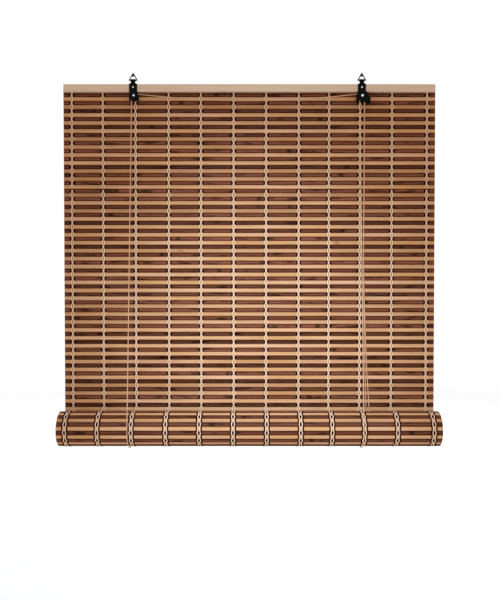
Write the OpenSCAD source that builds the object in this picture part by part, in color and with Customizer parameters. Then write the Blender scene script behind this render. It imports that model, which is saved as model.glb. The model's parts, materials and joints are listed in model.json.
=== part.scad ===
// Bamboo roll-up blind, let down part way, with the rest of its mat rolled up at the bottom.
// Millimetres, +Z up, +X to the right along the headrail, the front faces -Y.
// The origin lies between the two hanging rings, level with the faces that bear on the hooks.

/* [Mat] */
// length of every slat
mat_w = 900; // [600:10:1200]
// height of one slat
slat_h = 9.35; // [8:0.05:10]
// thickness of one slat
slat_t = 2.4; // [2:0.1:3]
// bevel along the four long edges of a slat
slat_bevel = 0.6; // [0.3:0.1:0.8]
// gap between neighbouring slats, where the strings cross
slat_gap = 0.3; // [0.2:0.05:0.8]
// slats that stay hanging when the blind is raised
upper_slats = 26; // [20:2:30]
// slats that wind onto the roll when the blind is raised
lower_slats = 60; // [50:2:64]

/* [Strings] */
// width of a string column where its strands spread
string_w = 12; // [8:0.5:14]
// width of a string column where its strands meet
string_neck = 5; // [3:0.5:7]
// thickness of the strings on each face of the mat
string_t = 1.1; // [0.8:0.1:1.2]
// distance from the mat's side edge to the first string column
string_inset = 20; // [12:1:40]
// sideways drift of each string column from even spacing
string_drift = [0, -3, -2, 0, 0, 1, 1.5, 2.5, -2.5, -5.5, -6.5, 0];

/* [Roll] */
// outer radius of the roll over its strings
roll_r = 44.5; // [40:0.5:50]
// free space between the turns of the roll, beyond their strings
turn_gap = 0.4; // [0.3:0.1:1]
// radius left free at the heart of the roll
heart_r = 12; // [10:0.5:16]
// how far the last hanging slat reaches below the roll's axis
roll_lead = 5; // [2:0.5:6]

/* [Rail] */
// how far the slats reach past each end of the headrail
rail_short = 4; // [0:0.5:10]
// height of the headrail
rail_h = 17.5; // [15:0.5:24]
// depth of the headrail
rail_d = 12; // [10:0.5:18]
// depth of the strip that clamps the mat behind the headrail
strip_d = 6; // [5:0.5:10]
// bevel along the edges of the wood
rail_bevel = 0.8; // [0.4:0.1:1.5]

/* [Brackets] */
// middle of the left bracket
left_x = -279; // [-300:1:-250]
// middle of the right bracket
right_x = 270; // [250:1:300]
// width of the strap on the headrail
strap_w = 19; // [16:0.5:24]
// width of the folded eye that holds the ring
eye_w = 12.5; // [11:0.5:13]
// width of the narrow neck below the eye
neck_w = 10.5; // [9:0.5:11]
// height of the eye's middle above the headrail
neck_h = 9.4; // [8:0.2:12]
// thickness of the bracket's sheet metal
sheet_t = 1.5; // [1:0.1:2]
// clear space between the two cheeks of a housing
cheek_gap = 8; // [8:0.5:8.5]
// radius of the left housing's cheeks
left_cheek = 10.8; // [10:0.2:12]
// radius of the right housing's cheeks
right_cheek = 13.5; // [12:0.5:15]
// how far the legs reach below the axle
leg_drop = 14; // [13:0.5:20]
// how far the axles lie below the headrail
axle_drop = 10; // [9.5:0.5:13]
// how far the axles lie to the right of the straps' middles
axle_dx = 1.4; // [0:0.2:2]

/* [Rings] */
// wire thickness of a ring
wire_d = 2.4; // [2:0.1:2.8]
// half the width of a ring, between wire centres
ring_half = 9.65; // [9.2:0.05:11]
// depth of the open eye, from the bearing face down to the lower wire's centre
eye_drop = 9; // [8:0.2:12]
// height of the filled top corner, up to the wire's centre
nose_h = 7.7; // [7:0.1:10]

/* [Pulleys and lock] */
// radius at the bottom of the pulley groove
groove_r = 4.6; // [4:0.1:5.2]
// radius of the pulley flanges
flange_r = 6.4; // [6:0.1:7]
// width of a pulley
pulley_w = 7; // [6:0.1:7.4]
// radius of the pulley axles
axle_r = 1.6; // [1.2:0.1:2]
// running clearance round the axles and the ring wire
play = 0.06; // [0.02:0.01:0.1]
// how far the cam's pin lies to the right of the right axle
cam_dx = 13.5; // [13:0.5:15]
// how far the cam's pin lies below the right axle
cam_dz = 9.5; // [8:0.5:11]

/* [Cords] */
// diameter of the cords
cord_d = 1.8; // [1.4:0.1:2]
// how far the cross cord sags between the brackets
cross_sag = 17; // [5:1:40]
// diameter of the knots
knot_d = 5; // [4:0.2:6]

/* [Hidden] */
$fn = 48;
pitch = slat_h + slat_gap;
columns = len(string_drift);
string_pitch = (mat_w - 2 * string_inset) / (columns - 1);
wire_r = wire_d / 2;
cord_r = cord_d / 2;
fold_r = wire_r + play + sheet_t;

// depths, from the front of the brackets to the back strip
strap_y = -fold_r;
rail_y = strap_y + sheet_t;
mat_y = rail_y + rail_d + string_t;
back_y = mat_y + slat_t + string_t;
mat_mid = mat_y + slat_t / 2;

// length of the headrail, and heights from the headrail down to the roll
rail_w = mat_w - 2 * rail_short;
rail_top = -eye_drop - neck_h;
rail_bottom = rail_top - rail_h;
mat_top = rail_bottom + 2 * pitch - slat_gap / 2;
lower_top = mat_top - upper_slats * pitch;
mat_end = lower_top - lower_slats * pitch + slat_gap;
roll_z = mat_end + roll_lead;
nail_z = rail_top - 0.45 * rail_h;

// the spiral of the roll, measured to the middle of the slats
turn_pitch = slat_t + 2 * string_t + turn_gap;
wrap_r = roll_r - string_t - slat_t / 2;
roll_y = mat_mid - wrap_r;
function spiral_r(s) = sqrt(wrap_r * wrap_r - turn_pitch * s / PI);
function spiral_deg(s) = (wrap_r - spiral_r(s)) * 360 / turn_pitch;
function slat_s(k) = roll_lead + slat_gap / 2 + (k + 0.5) * pitch;
heart_mid = heart_r + slat_t / 2;
wound = (wrap_r * wrap_r - heart_mid * heart_mid) * PI / turn_pitch;
roll_slats = floor((wound - roll_lead - slat_gap) / pitch);
outer_slats = ceil((2 * PI * wrap_r - PI * turn_pitch - roll_lead) / pitch);
// a point beside slat k of the roll: u along the mat, v outwards from the middle of the slat
function roll_point(k, u, v) =
    let (s = slat_s(k), a = spiral_deg(s), r = spiral_r(s) + v)
    [roll_y + r * cos(a) - u * sin(a), roll_z - r * sin(a) - u * cos(a)];

// housings
cheek_back = rail_y + cheek_gap;
pulley_y = rail_y + cheek_gap / 2;
rope_r = groove_r + 0.3 + cord_r;
axle_z = rail_bottom - max(axle_drop, sheet_t + 0.6 + max(flange_r, rope_r + cord_r + 0.3));
left_axle_x = left_x + axle_dx;
right_axle_x = right_x + axle_dx;
leg_w = 3.5;
cam_x = right_axle_x + cam_dx;
cam_z = axle_z - cam_dz;
cam_r = 4.2;
cam_pin_r = 1.5;
nose_r = cam_dx - rope_r - cord_r - 0.4;

// cords
rope_side = cord_r + 0.4;
sling_r = roll_r + 0.3 + cord_r;
front_y = roll_y - sling_r;
behind_y = roll_y + sling_r;
anchor_y = back_y + strip_d / 2;
left_lift_x = left_axle_x - rope_r;
right_lift_x = right_axle_x - rope_r;
pull_x = right_axle_x + rope_r;
knot_reach = roll_r + knot_d / 2 + 1;
pull_end = roll_z + sqrt(pow(knot_reach, 2) - pow(pulley_y - roll_y, 2)) - knot_d / 2;
pull_len = axle_z - pull_end;

// a flat shape drawn in X and Z, between two depths
module slab(y0, y1) {
    translate([0, y1, 0]) rotate([90, 0, 0]) linear_extrude(y1 - y0) children();
}

// a round pin or hole along Y
module pin_y(x, z, r, y0, y1) {
    translate([x, y1, z]) rotate([90, 0, 0]) cylinder(r = r, h = y1 - y0);
}

// a shape drawn in Y and Z, along X between two places
module along_x(x0, x1) {
    translate([x0, 0, 0]) rotate([90, 0, 90]) linear_extrude(x1 - x0) children();
}

// a bevelled bar of length l along X, from corner (y0, z0) to corner (y1, z1)
module bar_x(l, y0, y1, z0, z1, c) {
    along_x(-l / 2, l / 2)
        polygon([[y0 + c, z0], [y1 - c, z0], [y1, z0 + c], [y1, z1 - c],
                 [y1 - c, z1], [y0 + c, z1], [y0, z1 - c], [y0, z0 + c]]);
}

// a straight wire between two points drawn in X and Z, with a slightly swollen bend at its end
module wire_xz(p, q) {
    d = q - p;
    translate([p[0], 0, p[1]]) rotate([0, atan2(d[0], d[1]), 0]) cylinder(r = wire_r, h = norm(d));
    translate([q[0], 0, q[1]]) sphere(r = wire_r * 1.08);
}

// every second hanging slat, from slat number first
module hanging_slats(top, first, count) {
    for (i = [first : 2 : count - 1])
        bar_x(mat_w, mat_y, mat_y + slat_t, top - i * pitch - slat_h, top - i * pitch, slat_bevel);
}

// every second slat of the roll's outermost turn, from slat number first
module rolled_slats(first) {
    a = slat_h / 2;
    b = slat_t / 2;
    c = slat_bevel;
    for (k = [first : 2 : outer_slats - 1])
        along_x(-mat_w / 2, mat_w / 2)
            polygon([for (p = [[-a, -b + c], [-a, b - c], [-a + c, b], [a - c, b],
                               [a, b - c], [a, -b + c], [a - c, -b], [-a + c, -b]])
                roll_point(k, p[0], p[1])]);
}

// places a string column's shape at every column
module each_column() {
    for (i = [0 : columns - 1])
        translate([-mat_w / 2 + string_inset + i * string_pitch + string_drift[i], 0, 0]) children();
}

// one string column drawn in X and Z: w0 wide on the first slat, w1 on the second, and so on by turns
module string_chain(top, count, z0, z1, w0, w1) {
    mid = (w0 + w1) / 4;
    side = [for (i = [0 : count - 1]) [(i % 2 == 0 ? w0 : w1) / 2, top - i * pitch - slat_h / 2]];
    half = concat([[mid, z1]], side, [[mid, z0]]);
    polygon(concat(half, [for (i = [len(half) - 1 : -1 : 0]) [-half[i][0], half[i][1]]]));
}

// strings on both faces of the hanging mat: spread over light slats in front, over dark ones behind
module hanging_strings(top, count, z0, z1) {
    each_column() {
        slab(mat_y - string_t, mat_y) string_chain(top, count, z0, z1, string_neck, string_w);
        slab(mat_y + slat_t, back_y) string_chain(top, count, z0, z1, string_w, string_neck);
    }
}

// a cord: eight-sided rings along route points [x, y, z, radius], square to the way the cord runs
function unit(v) = v / norm(v);
function way(route, i) = let (a = route[max(i - 1, 0)], b = route[min(i + 1, len(route) - 1)])
    unit([b[0] - a[0], b[1] - a[1], b[2] - a[2]]);
module cord(route, ref) {
    n = len(route);
    points = [for (i = [0 : n - 1])
        let (t = way(route, i), u = unit(cross(t, ref)), v = cross(t, u), p = route[i])
        for (k = [0 : 7]) [p[0], p[1], p[2]] + p[3] * (cos(45 * k) * u + sin(45 * k) * v)];
    sides = [for (i = [0 : n - 2]) for (k = [0 : 7])
        [8 * i + k, 8 * i + (k + 1) % 8, 8 * i + 8 + (k + 1) % 8, 8 * i + 8 + k]];
    polyhedron(points, concat([[for (k = [7 : -1 : 0]) k]], sides,
                              [[for (k = [0 : 7]) 8 * (n - 1) + k]]));
}
// rings of a knot on a vertical cord, from its top down
function knot(x, y, z) = [for (k = [[0, 0.4], [0.2, 0.8], [0.5, 1], [0.8, 0.8], [1, 0.4]])
    [x, y, z - knot_d * k[0], max(cord_r, knot_d / 2 * k[1])]];

// the strap, waisted neck and folded eye that both brackets share
module strap(x) {
    half = [[strap_w / 2, axle_z], [strap_w / 2, rail_top], [neck_w / 2, rail_top + 0.25 * neck_h],
            [eye_w / 2, -eye_drop]];
    slab(strap_y, strap_y + sheet_t) translate([x, 0])
        polygon(concat(half, [for (i = [3 : -1 : 0]) [-half[i][0], half[i][1]]]));
    translate([x - eye_w / 2, 0, -eye_drop]) rotate([0, 90, 0]) cylinder(r = fold_r, h = eye_w);
    translate([x - strap_w / 2, strap_y, rail_bottom - sheet_t])
        cube([strap_w, cheek_gap + 2 * sheet_t, sheet_t]);
    translate([x - strap_w / 2, cheek_back, axle_z])
        cube([strap_w, sheet_t, rail_bottom - axle_z]);
}

// one pair of cheek shapes: children at the front and again at the back, cut off under the headrail
module both_cheeks() {
    reach = 2 * (axle_drop + leg_drop + cam_dz);
    translate([0, strap_y, 0]) children();
    intersection() {
        translate([0, cheek_back, 0]) children();
        translate([-mat_w, 0, rail_bottom - reach]) cube([2 * mat_w, cheek_back + 2 * sheet_t, reach]);
    }
}

// a leg with a round foot, hanging from a cheek
module leg(x) {
    translate([x - leg_w / 2, 0, axle_z - leg_drop + leg_w / 2])
        cube([leg_w, sheet_t, leg_drop - leg_w / 2]);
    pin_y(x, axle_z - leg_drop + leg_w / 2, leg_w / 2, 0, sheet_t);
}

// holes that every bracket has: ring wire, nail and axle
module strap_holes(x) {
    translate([x - eye_w, 0, -eye_drop]) rotate([0, 90, 0])
        cylinder(r = wire_r + play, h = 2 * eye_w);
    pin_y(x, nail_z, 1.55, strap_y - 1, rail_y + 0.5);
    pin_y(x + axle_dx, axle_z, axle_r + 0.05, strap_y - 1, cheek_back + sheet_t + 1);
}

module headrail() {
    color("burlywood") difference() {
        bar_x(rail_w, rail_y, rail_y + rail_d, rail_bottom, rail_top, rail_bevel);
        for (x = [left_x, right_x]) pin_y(x, nail_z, 1.55, rail_y - 1, rail_y + 9);
    }
}

module back_strip() {
    color("tan") difference() {
        bar_x(rail_w, back_y, back_y + strip_d, rail_bottom, rail_top, rail_bevel);
        for (x = [left_lift_x, right_lift_x])
            translate([x, anchor_y, rail_bottom - 1]) cylinder(r = cord_r + 0.3, h = rail_h + 2);
    }
}

module upper_dark_slats() {
    color("saddlebrown") hanging_slats(mat_top, 0, upper_slats);
}

module upper_light_slats() {
    color("peru") hanging_slats(mat_top, 1, upper_slats);
}

module upper_strings() {
    color("wheat") hanging_strings(mat_top, upper_slats, lower_top + slat_gap, mat_top);
}

module lower_dark_slats() {
    color("saddlebrown") hanging_slats(lower_top, 0, lower_slats);
}

module lower_light_slats() {
    color("peru") hanging_slats(lower_top, 1, lower_slats);
}

module lower_strings() {
    color("wheat") hanging_strings(lower_top, lower_slats, mat_end, lower_top);
}

module left_bracket() {
    color([0.06, 0.06, 0.06]) difference() {
        union() {
            strap(left_x);
            both_cheeks() {
                pin_y(left_axle_x, axle_z, left_cheek, 0, sheet_t);
                for (s = [-1, 1]) leg(left_axle_x + s * (left_cheek - leg_w / 2));
            }
        }
        strap_holes(left_x);
    }
}

module right_bracket() {
    d = norm([cam_dx, cam_dz]);
    lean = atan2(-cam_dz, cam_dx);
    lock_r = 6.5;
    turn = acos((right_cheek - lock_r) / d);
    function rim(x, z, r, a) = [x + r * cos(a), z + r * sin(a)];
    color([0.06, 0.06, 0.06]) difference() {
        union() {
            strap(right_x);
            both_cheeks() {
                pin_y(right_axle_x, axle_z, right_cheek, 0, sheet_t);
                pin_y(cam_x, cam_z, lock_r, 0, sheet_t);
                slab(0, sheet_t)
                    polygon([rim(right_axle_x, axle_z, right_cheek, lean + turn),
                             rim(right_axle_x, axle_z, right_cheek, lean - turn),
                             rim(cam_x, cam_z, lock_r, lean - turn),
                             rim(cam_x, cam_z, lock_r, lean + turn)]);
                for (s = [-1, 1]) leg(right_axle_x + s * (right_cheek - leg_w / 2));
            }
        }
        strap_holes(right_x);
        pin_y(cam_x, cam_z, cam_pin_r + 0.05, strap_y - 1, cheek_back + sheet_t + 1);
    }
}

// a nail with a low domed head, through a strap into the headrail
module nail(x) {
    pin_y(x, nail_z, 1.5, strap_y - 0.2, rail_y + 8);
    pin_y(x, nail_z, 2, strap_y - 0.6, strap_y);
    translate([x, strap_y - 0.6, nail_z]) rotate([90, 0, 0]) cylinder(r1 = 2, r2 = 1, h = 0.7);
}

module left_nail() {
    color("silver") nail(left_x);
}

module right_nail() {
    color("silver") nail(right_x);
}

// a riveted pin across a housing, with a domed head in front and a flat one behind
module rivet(x, z, r, head_r) {
    back = cheek_back + sheet_t;
    pin_y(x, z, r, strap_y - 0.2, back + 0.2);
    pin_y(x, z, head_r, strap_y - 0.7, strap_y);
    translate([x, strap_y - 0.7, z]) rotate([90, 0, 0]) cylinder(r1 = head_r, r2 = head_r * 0.5, h = 0.8);
    pin_y(x, z, r + 0.8, back, back + 0.7);
}

module left_axle() {
    color("silver") rivet(left_axle_x, axle_z, axle_r, 2.4);
}

module right_axle() {
    color("silver") rivet(right_axle_x, axle_z, axle_r, 3);
}

module cam_pin() {
    color([0.06, 0.06, 0.06]) rivet(cam_x, cam_z, cam_pin_r, 2.4);
}

// a triangle of wire with a filled top corner
module ring(x) {
    a = [-ring_half, -eye_drop];
    b = [ring_half, -eye_drop];
    c = [0, nose_h];
    w = ring_half * nose_h / (nose_h + eye_drop);
    translate([x, 0, 0]) {
        wire_xz(a, b);
        wire_xz(b, c);
        wire_xz(c, a);
        slab(-wire_r * 0.8, wire_r * 0.8) polygon([[-w, 0], [w, 0], c]);
    }
}

module left_ring() {
    color([0.12, 0.12, 0.12]) ring(left_x);
}

module right_ring() {
    color([0.12, 0.12, 0.12]) ring(right_x);
}

// a grooved wheel that turns on its axle
module pulley(x) {
    lip = 1.2;
    half = pulley_w / 2;
    translate([x, pulley_y, axle_z]) rotate([90, 0, 0]) rotate_extrude()
        polygon([[axle_r + play, -half], [flange_r, -half], [flange_r, -half + lip * 0.6],
                 [groove_r, -half + lip], [groove_r, half - lip], [flange_r, half - lip * 0.6],
                 [flange_r, half], [axle_r + play, half]]);
}

module left_pulley() {
    color("goldenrod") pulley(left_axle_x);
}

module right_pulley() {
    color("goldenrod") pulley(right_axle_x);
}

// the cam: a round hub, a nose that bites the cords and a short tail that hangs out of the housing
module lock_cam() {
    y0 = pulley_y - pulley_w / 2;
    y1 = pulley_y + pulley_w / 2;
    color([0.1, 0.1, 0.1]) difference() {
        union() {
            pin_y(cam_x, cam_z, cam_r, y0, y1);
            pin_y(cam_x + 3.5, cam_z - 6.5, 2.6, y0, y1);
            slab(y0, y1) polygon([[cam_x - nose_r, cam_z - 1.8], [cam_x - nose_r, cam_z - 0.6],
                                  [cam_x - 1, cam_z + 4], [cam_x + 3.9, cam_z + 1.5],
                                  [cam_x + 5.7, cam_z - 5.3], [cam_x + 1.3, cam_z - 7.7],
                                  [cam_x - 1.4, cam_z - 3.9]]);
        }
        pin_y(cam_x, cam_z, cam_pin_r + play, y0 - 1, y1 + 1);
    }
}

// the inner turns of the rolled mat: ridges for slats on a thin web, wound as one strip
module roll_turns() {
    a = slat_h / 2;
    b = slat_t / 2;
    c = slat_bevel;
    w = 0.4;
    last = roll_slats - 1;
    outside = [for (k = [outer_slats : last]) each
        [roll_point(k, -a, w), roll_point(k, -a + c, b), roll_point(k, a - c, b), roll_point(k, a, w)]];
    inside = [for (k = [last : -1 : outer_slats]) each
        [roll_point(k, a, -w), roll_point(k, a - c, -b), roll_point(k, -a + c, -b), roll_point(k, -a, -w)]];
    end = a + 0.03;
    tongue = [roll_point(outer_slats - 1, end, -w), roll_point(outer_slats - 1, end, w)];
    color("peru") along_x(-mat_w / 2, mat_w / 2) polygon(concat(tongue, outside, inside));
}

module roll_dark_slats() {
    color("saddlebrown") rolled_slats(0);
}

module roll_light_slats() {
    color("peru") rolled_slats(1);
}

// the strings on the outside of the roll, one strip round the outermost turn at each column
module roll_strings() {
    a = slat_h / 2 - slat_bevel;
    b = slat_t / 2;
    last = outer_slats - 1;
    under = [for (k = [0 : last]) each [roll_point(k, -a, b), roll_point(k, a, b)]];
    over = concat([roll_point(last, a, b + string_t * 0.8)],
                  [for (k = [last : -1 : 0]) roll_point(k, 0, b + string_t)],
                  [roll_point(0, -a, b + string_t * 0.8)]);
    color("wheat") each_column() along_x(-string_w / 2, string_w / 2) polygon(concat(under, over));
}

// the round bar at the heart of the roll, with a flat for the last slat
module bottom_bar() {
    s = slat_s(roll_slats - 1);
    a = spiral_deg(s);
    flat = spiral_r(s) - slat_t / 2;
    bar_r = spiral_r(s - pitch) - slat_t / 2 - 0.05;
    color("burlywood") translate([-mat_w / 2, roll_y, roll_z]) rotate([-a, 0, 0]) difference() {
        rotate([0, 90, 0]) cylinder(r = bar_r, h = mat_w);
        translate([-1, flat, -bar_r]) cube([mat_w + 2, bar_r, 2 * bar_r]);
    }
}

// the loop of a lift cord under the roll
module sling(x) {
    step = 15;
    r = sling_r / cos(step / 2);
    cord([for (a = [0 : step : 180]) [x, roll_y + r * cos(a), roll_z - r * sin(a), cord_r]], [1, 0, 0]);
}

module left_sling() {
    color("antiquewhite") sling(left_lift_x);
}

module right_sling() {
    color("antiquewhite") sling(right_lift_x);
}

// a lift cord from its pulley down to the front of the roll
module front_cord(x, y) {
    r = sling_r / cos(7.5) - sling_r;
    cord([[x, y, axle_z - 0.45, cord_r], [x, front_y - r, roll_z + 0.5, cord_r]], [1, 0, 0]);
}

module left_front_cord() {
    color("antiquewhite") front_cord(left_lift_x, pulley_y);
}

module right_front_cord() {
    color("antiquewhite") front_cord(right_lift_x, pulley_y + rope_side);
}

// the lift cords behind the mat, knotted on top of the back strip
module back_cords() {
    color("antiquewhite") for (x = [left_lift_x, right_lift_x])
        cord(concat(knot(x, anchor_y, rail_top + knot_d + 0.1),
                    [[x, anchor_y, rail_top, cord_r], [x, behind_y + 0.3, roll_z + 0.5, cord_r]]), [1, 0, 0]);
}

// points of a cord over a pulley, from angle a0 to a1, 0 at its right side and 90 on top
function over(x, y, a0, a1) = let (steps = 4, h = (a1 - a0) / steps, r = rope_r / cos(h / 2))
    [for (i = [0 : steps]) [x + r * cos(a0 + i * h), y, axle_z + r * sin(a0 + i * h), cord_r]];

// the left lift cord, over its pulley and across to the lock
module cross_cord() {
    span = right_x - left_x;
    top = axle_z + rope_r;
    sag = [for (f = [0.1, 0.25, 0.4, 0.6, 0.75, 0.9])
        [left_axle_x + span * f, pulley_y - rope_side * f, top - cross_sag * 4 * f * (1 - f), cord_r]];
    color("antiquewhite")
        cord(concat(over(left_axle_x, pulley_y, 180, 90), sag,
                    over(right_axle_x, pulley_y - rope_side, 90, 0)), [0, 1, 0]);
}

// the right lift cord, over its pulley into the lock
module lock_loop() {
    color("antiquewhite") cord(over(right_axle_x, pulley_y + rope_side, 180, 0), [0, 1, 0]);
}

// the two strands of the pull cord, from the lock down to their knots
module pull_cords() {
    color("antiquewhite") for (s = [-1, 1])
        cord(concat([[pull_x, pulley_y + s * rope_side, axle_z - 0.45, cord_r],
                     [pull_x - 1, pulley_y + s * rope_side, axle_z - 0.55 * pull_len, cord_r],
                     [pull_x + 4 - s * 1.5, pulley_y + s * rope_side, axle_z - 0.81 * pull_len, cord_r]],
                    knot(pull_x + 10 - s * 3.5, pulley_y + s * rope_side, pull_end + knot_d)), [0, 1, 0]);
}

headrail();
back_strip();
upper_dark_slats();
upper_light_slats();
upper_strings();
lower_dark_slats();
lower_light_slats();
lower_strings();
left_bracket();
right_bracket();
left_nail();
right_nail();
left_axle();
right_axle();
cam_pin();
left_ring();
right_ring();
left_pulley();
right_pulley();
lock_cam();
roll_turns();
roll_dark_slats();
roll_light_slats();
roll_strings();
bottom_bar();
left_sling();
right_sling();
left_front_cord();
right_front_cord();
back_cords();
cross_cord();
lock_loop();
pull_cords();
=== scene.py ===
# %% [markdown]
# # A bamboo roll-up blind
# Flat bamboo slats, dark and light by turns, are tied into a mat by twelve columns of thread.
# The mat hangs behind a raw wooden headrail, and its lower end is wound up into a roll that lies
# in two cord slings. This lesson dresses the plain solid model: it loads the solids, points a
# camera at them, then makes the cords, the slats, the threads and the finishes one by one.

# %% Load the solid model
import json
import math
import random

import bmesh
import bpy
from mathutils import Matrix, Vector, noise


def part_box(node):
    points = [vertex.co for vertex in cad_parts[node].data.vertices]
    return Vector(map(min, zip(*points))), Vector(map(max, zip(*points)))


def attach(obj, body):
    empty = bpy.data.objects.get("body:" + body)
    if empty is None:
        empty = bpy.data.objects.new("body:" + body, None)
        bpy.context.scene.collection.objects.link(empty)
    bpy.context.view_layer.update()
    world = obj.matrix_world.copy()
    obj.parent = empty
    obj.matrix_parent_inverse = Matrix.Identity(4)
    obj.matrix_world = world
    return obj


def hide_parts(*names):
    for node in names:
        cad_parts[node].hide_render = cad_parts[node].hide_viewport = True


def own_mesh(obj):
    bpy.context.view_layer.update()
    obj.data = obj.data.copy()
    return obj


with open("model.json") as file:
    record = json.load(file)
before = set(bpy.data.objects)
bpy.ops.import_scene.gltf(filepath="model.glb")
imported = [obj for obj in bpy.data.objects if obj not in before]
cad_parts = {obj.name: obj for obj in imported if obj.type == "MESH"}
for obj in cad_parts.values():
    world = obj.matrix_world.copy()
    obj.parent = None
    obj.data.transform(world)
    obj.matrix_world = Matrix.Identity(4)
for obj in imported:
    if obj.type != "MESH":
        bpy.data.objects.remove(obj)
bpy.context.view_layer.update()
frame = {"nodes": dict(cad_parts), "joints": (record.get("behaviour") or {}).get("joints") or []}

nodes = frame["nodes"]
scene = bpy.context.scene

# %% [markdown]
# ## Camera
# The camera stands straight in front of the blind, about level with the middle of the mat, so the
# roll is seen a little from above. The lens could be guessed and nudged, but the blind's own straight
# edges give it exactly: the roll stands 87 mm nearer than the mat, and the picture of the two
# widths fixes both the distance and the lens. The mat is pictured a little narrower towards its
# lower end, which gives the slight downward tilt.

# %% Camera
camera_data = bpy.data.cameras.new("camera")
camera_data.lens = 39.59
camera_data.sensor_width = 36.0
camera = bpy.data.objects.new("camera", camera_data)
camera.location = (0.00155, -1.595, -0.5033)
camera.rotation_euler = (math.radians(90 - 1.2), 0, 0)
scene.collection.objects.link(camera)
scene.camera = camera
scene.view_settings.view_transform = "Standard"
print("camera lens", camera_data.lens, "mm, standing", round(-camera.location.y, 3), "m in front")

# %% [markdown]
# ## Floor and light
# The blind hangs free, so the floor lies well below it. A wall behind would block the view of the
# back, so there is none: the floor fades out with distance, and the empty world shows white to
# the camera. To the blind itself the same world is only a warm sky, like light that comes off
# wooden walls. The key light could be a wide panel, but then the mat is lit evenly; a cooler soft
# spot from above, narrowed to a tall oval, keeps the middle and the roll brightest and lets the
# sides fall off into the warm sky, and the headrail and the cords throw their shadows down onto
# the mat. Warm and cool add up to about white in the middle of the mat, where a colour renders
# about as it is written.

# %% World
world = bpy.data.worlds.new("studio")
scene.world = world
world.use_nodes = True
tree = world.node_tree
tree.nodes.clear()
path = tree.nodes.new("ShaderNodeLightPath")
seen = tree.nodes.new("ShaderNodeMath")
seen.operation = "MAXIMUM"
tree.links.new(path.outputs["Is Camera Ray"], seen.inputs[0])
seen_too = tree.nodes.new("ShaderNodeMath")
seen_too.operation = "MAXIMUM"
tree.links.new(path.outputs["Is Glossy Ray"], seen_too.inputs[0])
tree.links.new(path.outputs["Is Transmission Ray"], seen_too.inputs[1])
tree.links.new(seen_too.outputs[0], seen.inputs[1])
sky = tree.nodes.new("ShaderNodeBackground")
sky.inputs["Color"].default_value = (1.0, 0.83, 0.7, 1)
sky.inputs["Strength"].default_value = 0.56
white = tree.nodes.new("ShaderNodeBackground")
white.inputs["Color"].default_value = (1, 1, 1, 1)
white.inputs["Strength"].default_value = 1.0
choose = tree.nodes.new("ShaderNodeMixShader")
tree.links.new(seen.outputs[0], choose.inputs[0])
tree.links.new(sky.outputs[0], choose.inputs[1])
tree.links.new(white.outputs[0], choose.inputs[2])
out = tree.nodes.new("ShaderNodeOutputWorld")
tree.links.new(choose.outputs[0], out.inputs["Surface"])
print("world: white to the camera, a sky of strength", sky.inputs["Strength"].default_value)

# %% Floor
FLOOR_Z = -1.3
FADE_FROM, FADE_TO = 1.7, 4.5
bm = bmesh.new()
bmesh.ops.create_circle(bm, cap_ends=True, segments=64, radius=6.0)
bmesh.ops.translate(bm, vec=(0, 0, FLOOR_Z), verts=bm.verts)
floor_mesh = bpy.data.meshes.new("floor")
bm.to_mesh(floor_mesh)
bm.free()
floor = bpy.data.objects.new("floor", floor_mesh)
scene.collection.objects.link(floor)
floor_paint = bpy.data.materials.new("floor paint")
floor_paint.use_nodes = True
tree = floor_paint.node_tree
paint = tree.nodes["Principled BSDF"]
paint.inputs["Base Color"].default_value = (0.93, 0.93, 0.93, 1)
paint.inputs["Roughness"].default_value = 0.9
ray = tree.nodes.new("ShaderNodeLightPath")
lift = tree.nodes.new("ShaderNodeMath")
lift.operation = "MULTIPLY"
lift.inputs[1].default_value = 0.5
tree.links.new(ray.outputs["Is Camera Ray"], lift.inputs[0])
tree.links.new(lift.outputs[0], paint.inputs["Emission Strength"])
paint.inputs["Emission Color"].default_value = (0.72, 0.87, 1, 1)
place = tree.nodes.new("ShaderNodeTexCoord")
far = tree.nodes.new("ShaderNodeVectorMath")
far.operation = "LENGTH"
tree.links.new(place.outputs["Object"], far.inputs[0])
fade = tree.nodes.new("ShaderNodeMapRange")
fade.inputs["From Min"].default_value = FADE_FROM
fade.inputs["From Max"].default_value = FADE_TO
tree.links.new(far.outputs["Value"], fade.inputs["Value"])
clear = tree.nodes.new("ShaderNodeBsdfTransparent")
blend = tree.nodes.new("ShaderNodeMixShader")
tree.links.new(fade.outputs[0], blend.inputs[0])
tree.links.new(paint.outputs[0], blend.inputs[1])
tree.links.new(clear.outputs[0], blend.inputs[2])
tree.links.new(blend.outputs[0], tree.nodes["Material Output"].inputs["Surface"])
floor_mesh.materials.append(floor_paint)
print("floor at", FLOOR_Z, "m, gone", FADE_TO, "m away")

# %% Lamps
# A spot's cone is this much narrower than it is tall.
OVAL = 0.76


def soft_lamp(name, at, aim, size, watts, tint, cone=None):
    """A lamp that looks at a point: a soft tall spot if it has a cone, or else a square panel."""
    lamp_data = bpy.data.lights.new(name, "SPOT" if cone else "AREA")
    if cone:
        lamp_data.spot_size, lamp_data.spot_blend = math.radians(cone), 1.0
        lamp_data.shadow_soft_size = size / 2
    else:
        lamp_data.shape = "SQUARE"
        lamp_data.size = size
    lamp_data.energy, lamp_data.color = watts, tint
    lamp = bpy.data.objects.new(name, lamp_data)
    lamp.location = at
    lamp.rotation_euler = (Vector(aim) - Vector(at)).to_track_quat("-Z", "Y").to_euler()
    lamp.scale.x = OVAL if cone else 1.0
    scene.collection.objects.link(lamp)
    return lamp


lamps = [
    soft_lamp("key", (-0.3, -2.3, 0.75), (0.04, 0, -0.76), 0.4, 232, (0.74, 0.89, 1.0), 28),
    soft_lamp("rear", (0.8, 2.6, 0.6), (0, 0, -0.4), 1.8, 34, (0.8, 0.92, 1.0)),
]
for lamp in lamps:
    print(lamp.name, lamp.data.energy, "W")

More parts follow.
